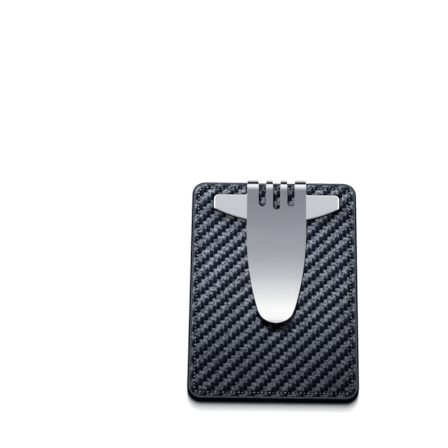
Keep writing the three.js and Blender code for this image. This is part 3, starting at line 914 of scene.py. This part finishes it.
def flat_sheet(outlines, bends):
    """Outlines in (x, length along the strip), divided at the bends so that they can curve."""
    flat = bmesh.new()
    for outline in outlines:
        flat.faces.new([flat.verts.new((px, ps, 0)) for px, ps in outline])
    for s in bends:
        bmesh.ops.bisect_plane(
            flat, geom=flat.verts[:] + flat.edges[:] + flat.faces[:],
            plane_co=(0, s, 0), plane_no=(0, 1, 0), dist=1e-5,
        )
    bmesh.ops.recalc_face_normals(flat, faces=flat.faces)
    flat.verts.index_update()
    return flat


def thick_sheet(flat, thickness, open_lines):
    """A slab with the plan of a flat sheet, and its rims that are to be rounded. Rims on the
    open_lines stay square, because the next piece of the strip carries on there."""
    solid = bmesh.new()
    inner, outer = [], []
    for vert in flat.verts:
        for store, side in ((inner, 0.5), (outer, -0.5)):
            store.append(solid.verts.new((vert.co.x, vert.co.y, side * thickness)))
    for face in flat.faces:
        solid.faces.new([inner[v.index] for v in face.verts])
        solid.faces.new([outer[v.index] for v in face.verts][::-1])
    rims, square = [], []
    for edge in flat.edges:
        if len(edge.link_faces) != 1:
            continue
        a, b = edge.verts
        solid.faces.new([inner[a.index], inner[b.index], outer[b.index], outer[a.index]])
        on_line = any(max(abs(a.co.y - s), abs(b.co.y - s)) < 1e-4 for s in open_lines)
        for side in (inner, outer):
            rim = solid.edges.get((side[a.index], side[b.index]))
            (square if on_line else rims).append(rim)
    bmesh.ops.recalc_face_normals(solid, faces=solid.faces)
    for edge in square:
        edge.smooth = False
    return solid, rims


def evenly_shaded(obj):
    """Replaces the mesh by one whose normals follow its larger faces."""
    weighted = obj.modifiers.new("even_shading", "WEIGHTED_NORMAL")
    weighted.keep_sharp = True
    weighted.weight = 80
    bpy.context.view_layer.update()
    evaluated = obj.evaluated_get(bpy.context.evaluated_depsgraph_get())
    final = bpy.data.meshes.new_from_object(evaluated)
    obj.modifiers.clear()
    obj.data = final
    return obj


def sheet_piece(name, outlines, bends, open_lines, chamfered=False):
    """A bent piece of sheet. Its edges are rounded, or given a flat shallow chamfer: the slab is
    made thicker for the bevel and squeezed to its thickness afterwards."""
    stretch = CHAMFER_STRETCH if chamfered else 1.0
    flat = flat_sheet(outlines, bends)
    solid, rims = thick_sheet(flat, SHEET * stretch, open_lines)
    made = bmesh.ops.bevel(
        solid, geom=rims, offset=SHEET_EDGE_ROUND, segments=1 if chamfered else 4, profile=0.5,
        affect="EDGES", clamp_overlap=True,
    )
    for face in solid.faces:
        face.smooth = True
    if chamfered:
        for face in made["faces"]:
            for edge in face.edges:
                edge.smooth = False
    for vert in solid.verts:
        across, along, lift = vert.co
        y, z, heading = strip_place(along)
        y -= math.sin(heading) * lift / stretch
        z += math.cos(heading) * lift / stretch
        vert.co = (across * MM, y * MM, z * MM)
    mesh = bpy.data.meshes.new(name)
    solid.to_mesh(mesh)
    flat.free()
    solid.free()
    obj = bpy.data.objects.new(name, mesh)
    bpy.context.scene.collection.objects.link(obj)
    return evenly_shaded(obj)


def clip_plate():
    """Lower leaf with its wings, flat in its seat."""
    outline = [(px, py - BEND_FOOT_Y) for px, py in base_outline(BEND_FOOT_Y - ROOT_LENGTH)]
    return sheet_piece("clip_plate", [outline], [], [-ROOT_LENGTH], chamfered=True)


def clip_bend():
    """The four fingers between the slots, round the bend."""
    near, far, outer = SLOT_HALF, SLOT_PITCH - SLOT_HALF, SLOT_PITCH + SLOT_HALF
    sides = ((-STRIP_HALF, -outer), (-far, -near), (near, far), (outer, STRIP_HALF))
    fingers = []
    for left, right in sides:
        foot = [(CLIP_X + left, -ROOT_LENGTH), (CLIP_X + right, -ROOT_LENGTH)]
        fingers.append(foot + [(CLIP_X + right, BEND_END), (CLIP_X + left, BEND_END)])
    bends = np.linspace(0, BEND_END, 56)[:-1]
    return sheet_piece("clip_bend_fingers", fingers, bends, [-ROOT_LENGTH, BEND_END])


def clip_tongue():
    """Upper leaf, from the bend to the tip."""
    root_y = strip_place(BEND_END)[0] - TONGUE_ROOT
    outline = tongue_outline(root_y)
    lengths = lengths_at([py for px, py in outline])
    tongue = [
        (px, BEND_END if abs(py - root_y) < 1e-6 else float(s))
        for (px, py), s in zip(outline, lengths)
    ]
    crest = np.linspace(BEND_END, CREST_END, 18)[1:]
    bends = np.concatenate([crest, np.arange(CREST_END + 1.0, STRIP_END, 1.0)])
    return sheet_piece("clip_tongue_leaf", [tongue], bends, [BEND_END])


# ---------- node helpers ----------


class Value:
    """A number, colour or vector made by nodes; arithmetic with it adds the nodes for it."""

    def __init__(self, graph, socket):
        self.graph = graph
        self.socket = socket

    def __add__(self, other):
        return self.graph.calc("ADD", self, other)

    def __sub__(self, other):
        return self.graph.calc("SUBTRACT", self, other)

    def __rsub__(self, other):
        return self.graph.calc("SUBTRACT", other, self)

    def __mul__(self, other):
        return self.graph.calc("MULTIPLY", self, other)

    def __pow__(self, power):
        return self.graph.calc("POWER", self, power)

    def __abs__(self):
        return self.graph.calc("ABSOLUTE", self)


class Graph:
    """The nodes of a material or a world. Inputs take Values or plain numbers and colours."""

    def __init__(self, owner, output_kind, shader_kind):
        owner.use_nodes = True
        self.owner = owner
        self.tree = owner.node_tree
        self.tree.nodes.clear()
        output = self.tree.nodes.new("ShaderNode" + output_kind)
        self.shader = self.tree.nodes.new("ShaderNode" + shader_kind)
        self.tree.links.new(self.shader.outputs[0], output.inputs[0])

    def feed(self, node, inputs):
        """Connects each named or numbered input of a node, or sets its plain value."""
        for name, source in inputs.items():
            if isinstance(source, Value):
                self.tree.links.new(source.socket, node.inputs[name])
            else:
                node.inputs[name].default_value = source

    def finished(self, inputs):
        """Feeds the shader and returns the material or world."""
        self.feed(self.shader, inputs)
        return self.owner

    def add(self, kind, inputs, output=0, **settings):
        """Adds a node and returns one of its outputs."""
        node = self.tree.nodes.new("ShaderNode" + kind)
        for name, setting in settings.items():
            setattr(node, name, setting)
        self.feed(node, inputs)
        return Value(self, node.outputs[output])

    def calc(self, operation, *values):
        return self.add("Math", dict(enumerate(values)), operation=operation)

    def wave(self, value, pitch):
        """Sine wave along a value."""
        return self.calc("SINE", value * (2 * math.pi / pitch))

    def mixed(self, share, first, second):
        """Colour between two colours."""
        inputs = {"Factor": share, 6: first, 7: second}
        return self.add("Mix", inputs, 2, data_type="RGBA")

    def blended(self, share, first, second):
        """Number between two numbers."""
        inputs = {"Factor": share, 2: first, 3: second}
        return self.add("Mix", inputs, data_type="FLOAT")

    def scaled(self, colour_value, light):
        inputs = {0: colour_value, "Scale": light}
        return self.add("VectorMath", inputs, operation="SCALE")

    def eased(self, value, low, high, out_low, out_high):
        """Runs smoothly from out_low to out_high while the value runs from low to high."""
        inputs = dict(enumerate((value, low, high, out_low, out_high)))
        return self.add("MapRange", inputs, interpolation_type="SMOOTHSTEP")

    def object_place(self):
        return self.add("TexCoord", {}, "Object")

    def point_value(self, name):
        return self.add("Attribute", {}, "Fac", attribute_name=name)

    def split(self, vector):
        """x, y and z of a vector."""
        return [self.add("SeparateXYZ", {0: vector}, axis) for axis in range(3)]

    def noise(self, vector, size_mm, detail):
        """Noise from 0 to 1 with features of about the given size."""
        return self.add("TexNoise", {"Vector": vector, "Scale": 1 / (size_mm * MM), "Detail": detail})

    def bumped(self, height, depth_mm, strength):
        return self.add("Bump", {"Height": height, "Distance": depth_mm * MM, "Strength": strength})


def material_graph(name):
    return Graph(bpy.data.materials.new(name), "OutputMaterial", "BsdfPrincipled")


def colour(red, green, blue):
    """Linear colour from display values 0 to 255."""
    def linear(value):
        v = value / 255
        return v / 12.92 if v <= 0.04045 else ((v + 0.055) / 1.055) ** 2.4
    return (linear(red), linear(green), linear(blue), 1.0)


# ---------- materials ----------


def leather(name, side, warp, weft):
    """Leather embossed as twill: warp tows stand as ovals, weft tows lie between them.

    side is 1, or -1 for the mirrored pattern; warp and weft are each (colour, refractive index,
    how much the grain shows).
    """
    graph = material_graph(name)
    place = graph.object_place()
    x, y, _ = graph.split(place)
    u = x * (side / (COLUMN * MM)) + TWILL_PHASE[0]
    v = y * (1 / (ROW * MM)) + TWILL_PHASE[1]
    column = graph.calc("FLOOR", u)
    row = graph.calc("FLOOR", v)
    across_column = u - column
    across_row = v - row
    step = graph.calc("FLOORED_MODULO", row - column, 4.0)
    in_warp = graph.calc("LESS_THAN", step, WARP_STEPS)
    warp_along = (step + across_row) * 0.5
    weft_along = (across_column + 3.0 - step) * 0.5
    along = graph.blended(in_warp, weft_along, warp_along)
    across = graph.blended(in_warp, across_row, across_column)

    # High in the middle of a float, falling off at its sides and rounded ends; the upper end of
    # each oval is narrower than its lower one.
    off_middle = abs(across * 2.0 - 1.0)
    off_centre = abs(along * 2.0 - 1.0)
    pillow = 1.0 - (off_middle ** OVAL_SIDES + off_centre ** OVAL_ENDS)
    pillow = pillow + (OVAL_NARROWING / 2 - warp_along * OVAL_NARROWING)
    # Where the embossing is weaker the ovals are smaller and fainter.
    weave = graph.point_value("weave")
    shrunk = weave * OVAL_SHRINK - OVAL_SHRINK
    oval = graph.eased(pillow + shrunk, *OVAL_FADE, 0.0, 1.0)
    warp_share = in_warp * oval * graph.eased(weave, 0.2, 0.6, 0.5, 1.0)

    # Painted light: each oval is painted lighter along its upper end and darker at its lower one, the
    # weft lighter along its middle, and both are painted darker down the case, a painted falloff of
    # light.
    oval_light = (warp_along * 1.6 + 0.3) * OVAL_LIGHT
    oval_light = oval_light * graph.eased(y, -45 * MM, 15 * MM, 0.55, 1.1)
    swell = (1.0 - off_middle ** 2.6) * (1.0 - off_centre ** 3.0)
    flat_light = (swell * 0.45 + 0.68) * graph.eased(y, -45 * MM, 5 * MM, 0.5, 1.0)

    # Fine ridges along each tow, and the leather's own grain.
    ridge = graph.wave(across, 1 / RIDGES_PER_TOW)
    grain = graph.noise(place, 0.35, 4.0)
    pebble = graph.noise(place, PEBBLE_SIZE, 2.0)
    cloud = graph.noise(place, 14.0, 3.0)
    grain_share = graph.blended(warp_share, weft[2], warp[2])
    light = graph.eased(pebble, 0.36, 0.64, -1.0, 0.8) * grain_share + 1.0
    light = light * graph.blended(warp_share, flat_light, oval_light)
    light = light * (ridge * 0.06 + 1.0) * graph.eased(cloud, 0.2, 0.8, 0.88, 1.12)
    # Painted shade carried on the mesh: holes, seams and where the clip keeps the light off.
    light = light * graph.point_value("shade")

    # The sheen follows the same painted light and shade and the grain, through the refractive index.
    index = graph.blended(warp_share, weft[1], warp[1])
    height = ridge * 0.35 + grain * 0.8 + pebble * 1.5
    return graph.finished({
        "Base Color": graph.scaled(graph.mixed(warp_share, weft[0], warp[0]), light),
        "IOR": (index - 1.0) * light ** 0.5 + 1.0,
        "Roughness": graph.eased(grain, 0.3, 0.7, 0.3, 0.44),
        "Normal": graph.bumped(height, 0.03, 0.7),
    })


def edge_paint(name, side_tone, top_highlight_tone, top_index):
    """Edge dye: matt and dark on the cut side, smoother where it laps over the face, and paler there
    as a painted highlight.
    """
    graph = material_graph(name)
    place = graph.object_place()
    ripple = graph.noise(place, 2.5, 3.0)
    grit = graph.noise(place, 0.3, 3.0)
    normal_x, _, normal_z = graph.split(graph.add("NewGeometry", {}, "Normal"))
    # Painted highlight: faces that look up get the paler tone.
    facing = abs(normal_z) - abs(normal_x) * 0.2
    level = graph.eased(facing, 0.9, 0.96, 0.0, 1.0)
    worn = graph.eased(graph.noise(place, 3.0, 4.0), 0.3, 0.7, 0.7, 1.3)
    return graph.finished({
        "Base Color": graph.scaled(graph.mixed(level, side_tone, top_highlight_tone), worn),
        "IOR": top_index,
        "Specular IOR Level": graph.blended(level, 0.0, 0.5),
        "Roughness": graph.eased(grit, 0.3, 0.7, 0.2, 0.32),
        "Normal": graph.bumped(grit * 0.3 + ripple, 0.05, 0.5),
    })


def steel(name, tone, roughness, brush_depth, edge_highlight_tone=None):
    """Polished stainless steel: faint polishing lines across, slight changes in sheen. On a level
    plate the sloping edges can be given a brighter tone of their own, a painted highlight."""
    graph = material_graph(name)
    place = graph.object_place()
    stretched = graph.add("Mapping", {"Vector": place, "Scale": (0.04, 1.0, 1.0)})
    lines = graph.noise(stretched, 0.12, 4.0)
    smear = graph.noise(place, 9.0, 3.0)
    darker = tuple(c * 0.95 for c in tone[:3]) + (1.0,)
    shown = graph.mixed(smear, darker, tone)
    if edge_highlight_tone:
        # Painted highlight on the plate's sloping edges.
        normal_z = graph.split(graph.add("NewGeometry", {}, "True Normal"))[2]
        level = graph.eased(abs(normal_z), 0.93, 0.98, 0.0, 1.0)
        shown = graph.mixed(level, edge_highlight_tone, shown)
    sheen = graph.eased(smear, 0.3, 0.7, roughness * 0.85, roughness * 1.15)
    return graph.finished({
        "Base Color": shown,
        "Metallic": 1.0,
        "Roughness": lines * (roughness * 0.2) + sheen,
        "Normal": graph.bumped(lines, brush_depth, 0.6),
    })


def thread_material():
    """Waxed thread, its plies twisted together; the plies' dark and pale stripes are partly the twist
    and partly painted shade and highlight.
    """
    graph = material_graph("waxed_thread")
    place = graph.object_place()
    x, y, z = graph.split(place)
    plies = graph.wave(x + y + z * 1.6, 0.32 * MM)
    fuzz = graph.noise(place, 0.15, 4.0)
    share = graph.eased(plies, -1.0, 1.0, 0.0, 1.0)
    return graph.finished({
        "Base Color": graph.mixed(share, colour(14, 18, 25), colour(108, 114, 125)),
        "Roughness": graph.eased(fuzz, 0.3, 0.7, 0.3, 0.5),
        "Normal": graph.bumped(fuzz * 0.4 + plies, 0.04, 0.8),
    })


def board_material():
    """Pressed fibre board."""
    graph = material_graph("fibre_board")
    fibre = graph.noise(graph.object_place(), 0.8, 5.0)
    return graph.finished({
        "Base Color": graph.mixed(fibre, colour(92, 78, 60), colour(140, 122, 98)),
        "Roughness": 0.9,
        "Normal": graph.bumped(fibre, 0.1, 0.5),
    })


def lining_material():
    """Thin plain-woven lining."""
    graph = material_graph("woven_lining")
    x, y, _ = graph.split(graph.object_place())
    cloth = graph.wave(x, 0.5 * MM) * graph.wave(y, 0.5 * MM)
    share = graph.eased(cloth, -1.0, 1.0, 0.0, 1.0)
    return graph.finished({
        "Base Color": graph.mixed(share, colour(30, 34, 42), colour(52, 57, 68)),
        "Roughness": 0.85,
        "Normal": graph.bumped(cloth, 0.05, 0.6),
    })


def floor_material():
    graph = material_graph("pale_floor")
    mottle = graph.noise(graph.object_place(), 60.0, 2.0)
    return graph.finished({
        "Base Color": graph.mixed(mottle, (0.9, 0.9, 0.9, 1.0), (0.93, 0.93, 0.93, 1.0)),
        "Roughness": 0.9,
        "Specular IOR Level": 0.1,
    })


# ---------- studio ----------


def sky_ramp(graph, from_overhead):
    """Colour of the sky at an angle in degrees from overhead."""
    ramp = graph.tree.nodes.new("ShaderNodeValToRGB")
    ramp.color_ramp.interpolation = "CARDINAL"
    graph.feed(ramp, {0: from_overhead * (1 / 90)})
    elements = ramp.color_ramp.elements
    for angle, level in SKY_LEVELS:
        ends = {0: elements[0], 90: elements[-1]}
        element = ends.get(angle) or elements.new(angle / 90)
        blue = SKY_BLUE * (1 - level)
        element.color = (level * (1 - 0.4 * blue), level, level * (1 + blue), 1)
    return Value(graph, ramp.outputs[0])


def studio_light():
    """A soft white studio: dimmer straight overhead, bright behind, one dark flag low behind."""
    world = bpy.data.worlds.new("studio")
    bpy.context.scene.world = world
    graph = Graph(world, "OutputWorld", "Background")
    x, y, z = graph.split(graph.add("TexCoord", {}, "Generated"))
    from_overhead = graph.calc("ARCCOSINE", graph.calc("MINIMUM", z, 1.0)) * math.degrees(1)
    sideways = abs(graph.calc("ARCTAN2", x, y)) * math.degrees(1)
    # The flag covers a band of heights, only towards +Y.
    flag = graph.eased(from_overhead, *FLAG_TOP, 0.0, 1.0)
    flag = flag * graph.eased(from_overhead, *FLAG_BOTTOM, 1.0, 0.0)
    flag = flag * graph.eased(sideways, *FLAG_SIDES, 1.0, 0.0)
    strength = (flag * (FLAG_LEVEL - 1) + 1.0) * SKY_STRENGTH
    # Mirrored in the object, the side the camera stands on is dimmer.
    mirror = graph.add("LightPath", {}, "Is Glossy Ray")
    front = graph.eased(y, FRONT_START, 0.0, 1.0, 0.0) * mirror
    # The same surroundings light matt surfaces less than the key does.
    matt = graph.add("LightPath", {}, "Is Diffuse Ray")
    strength = strength * graph.blended(front, 1.0, FRONT_LEVEL)
    strength = strength * graph.blended(matt, 1.0, MATT_FILL)
    sky = graph.mixed(flag, sky_ramp(graph, from_overhead), FLAG_COLOUR)
    graph.finished({"Strength": strength, "Color": graph.mixed(matt, sky, FILL_COLOUR)})


def add_lamp(name, kind, power, receivers):
    """A lamp that lights only its receivers and that steel does not mirror."""
    lamp = bpy.data.lights.new(name, kind)
    lamp.energy = power
    obj = bpy.data.objects.new(name, lamp)
    obj.visible_glossy = False
    bpy.context.scene.collection.objects.link(obj)
    group = bpy.data.collections.new(name + "_receivers")
    for receiver in receivers:
        group.objects.link(receiver)
    obj.light_linking.receiver_collection = group
    return obj


def soft_sun(name, tilt, angle, power, receivers):
    """A soft distant light from behind, `tilt` degrees from overhead."""
    obj = add_lamp(name, "SUN", power, receivers)
    obj.data.angle = math.radians(angle)
    obj.rotation_euler = (math.radians(-tilt), 0.0, 0.0)


def key_lights(floor_object, pieces):
    """The floor gets a long overhead source; the case a lower one that rakes over its relief."""
    for number, tilt in enumerate(FLOOR_TILTS):
        power = FLOOR_POWER / len(FLOOR_TILTS)
        soft_sun(f"floor_key_{number + 1}", tilt, FLOOR_ANGLE, power, [floor_object])
    soft_sun("case_key", CASE_TILT, CASE_ANGLE, CASE_POWER, pieces)


def spot_light(pieces):
    """A soft-edged spot that lifts the bend end of the case above the rest."""
    obj = add_lamp("soft_spot", "SPOT", SPOT_POWER, pieces)
    obj.data.spot_size = math.radians(SPOT_ANGLE)
    obj.data.spot_blend = 1.0
    obj.data.shadow_soft_size = SPOT_RADIUS
    obj.location = SPOT_PLACE
    back = Vector(SPOT_PLACE) - Vector(SPOT_AIM)
    obj.rotation_euler = back.to_track_quat("Z", "Y").to_euler()


def floor():
    signs = ((-1, -1), (1, -1), (1, 1), (-1, 1))
    corners = [(x * FLOOR_HALF, y * FLOOR_HALF, -FLOOR_DROP) for x, y in signs]
    obj = make_object("studio_floor", corners, [[0, 1, 2, 3]], smooth=False)
    obj.data.materials.append(floor_material())
    return obj


def camera():
    azimuth = math.radians(CAMERA_AZIMUTH)
    elevation = math.radians(CAMERA_ELEVATION)
    back = Vector((
        math.sin(azimuth) * math.cos(elevation),
        -math.cos(azimuth) * math.cos(elevation),
        math.sin(elevation),
    ))
    level = Vector((0, 0, 1)).cross(back).normalized()
    right = Matrix.Rotation(math.radians(CAMERA_ROLL), 3, back) @ level
    turn = Matrix((right, back.cross(right), back)).transposed().to_4x4()
    data = bpy.data.cameras.new("camera")
    data.sensor_width = SENSOR
    data.lens = CAMERA_LENS
    data.clip_start = 0.01
    data.clip_end = 20.0
    obj = bpy.data.objects.new("camera", data)
    place = (Vector(CAMERA_TARGET) + back * CAMERA_DISTANCE) * MM
    obj.matrix_world = Matrix.Translation(place) @ turn
    bpy.context.scene.collection.objects.link(obj)
    bpy.context.scene.camera = obj


# ---------- putting it together ----------


def finish_piece(obj, material, replaced=(), body="case"):
    """Gives a piece its material, slot and body; it takes the place of the replaced CAD nodes."""
    if replaced:
        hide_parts(*replaced)
    obj.data.materials.clear()
    obj.data.materials.append(material)
    if body:
        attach(obj, body)


dark_tow = (0.0013, 0.0021, 0.0042, 1.0)
pale_tow = (0.045, 0.0495, 0.06, 1.0)
black_dye = (0.0016, 0.002, 0.004, 1.0)
# The rim's paler tone is a painted highlight on the dark edge dye.
rim_highlight_tone = (0.012, 0.015, 0.021, 1.0)
front_leather_look = leather("front_leather", 1, (dark_tow, 1.12, 0.2), (pale_tow, 1.34, 0.75))
pocket_leather_look = leather("pocket_leather", -1, (pale_tow, 1.34, 0.3), (dark_tow, 1.3, 0.2))
dark_edge_look = edge_paint("edge_paint", black_dye, rim_highlight_tone, 1.75)
# The cut edge is paler grey than the edge paint, and paler still where it faces up: painted highlight.
cut_edge_highlight_look = edge_paint("cut_edge", (0.06, 0.066, 0.08, 1.0), (0.16, 0.17, 0.19, 1.0), 2.0)
satin_look = steel("clip_steel", (0.72, 0.72, 0.72, 1.0), 0.07, 0.002)
# The wings' steel is a darker copy of the clip's steel, a painted shade; its brighter edge tone is a
# painted highlight.
shaded_wing_look = steel("wing_steel", (0.605, 0.61, 0.625, 1.0), 0.1, 0.003, (0.94, 0.94, 0.95, 1.0))
mirror_look = steel("plate_steel", (0.74, 0.745, 0.76, 1.0), 0.14, 0.003)
thread_look = thread_material()
board_look = board_material()
lining_look = lining_material()

finish_piece(front_panel(), front_leather_look, ["front_leather"])
finish_piece(pocket_panel(), pocket_leather_look, ["pocket_leather"])
finish_piece(facing_panel(), pocket_leather_look, ["mouth_facing"])
finish_piece(edge_band(), dark_edge_look, ["edge_coat"])
finish_piece(mouth_edge(), cut_edge_highlight_look)
finish_piece(thumb_edge(), dark_edge_look)

# Rows of stitches: name, line, whether it is a ring, surface, side and CAD node.
for name, line, ring, surface, side, node in (
    ("front", case_outline(STITCH_INSET), True, front_surface, 1, "front_perimeter_thread"),
    ("pocket", pocket_rim_line(), False, pocket_surface, -1, "pocket_perimeter_thread"),
    ("facing", facing_rim_line(), False, facing_surface, -1, "facing_perimeter_thread"),
    ("mouth", mouth_stitch_line(), False, pocket_surface, -1, "mouth_thread"),
    ("thumb_slot", thumb_ring(THUMB_STITCH_OFFSET), True, pocket_surface, -1, "thumb_slot_thread"),
):
    row = stitch_row(name + "_stitches", line, ring, surface, side)
    finish_piece(row, thread_look, [node])

finish_piece(clip_plate(), shaded_wing_look, ["clip_base_plate"])
finish_piece(clip_tongue(), satin_look, ["clip_tongue"], "clip_arm")
bend = clip_bend()
finger_nodes = [f"clip_spring_finger_{number}" for number in (1, 2, 3, 4)]
finish_piece(bend, satin_look, finger_nodes, None)
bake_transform(bend)

for node, look in (
    ("core_plate", mirror_look),
    ("front_board", board_look),
    ("pocket_spacer", board_look),
    ("pocket_lining", lining_look),
    ("clip_stud_left", satin_look),
    ("clip_stud_right", satin_look),
):
    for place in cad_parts[node].material_slots:
        place.material = look

studio_floor = floor()
case_pieces = [obj for obj in bpy.data.objects if obj.type == "MESH" and obj is not studio_floor]
studio_light()
key_lights(studio_floor, case_pieces)
spot_light(case_pieces)
camera()
bpy.context.scene.view_settings.view_transform = "Standard"
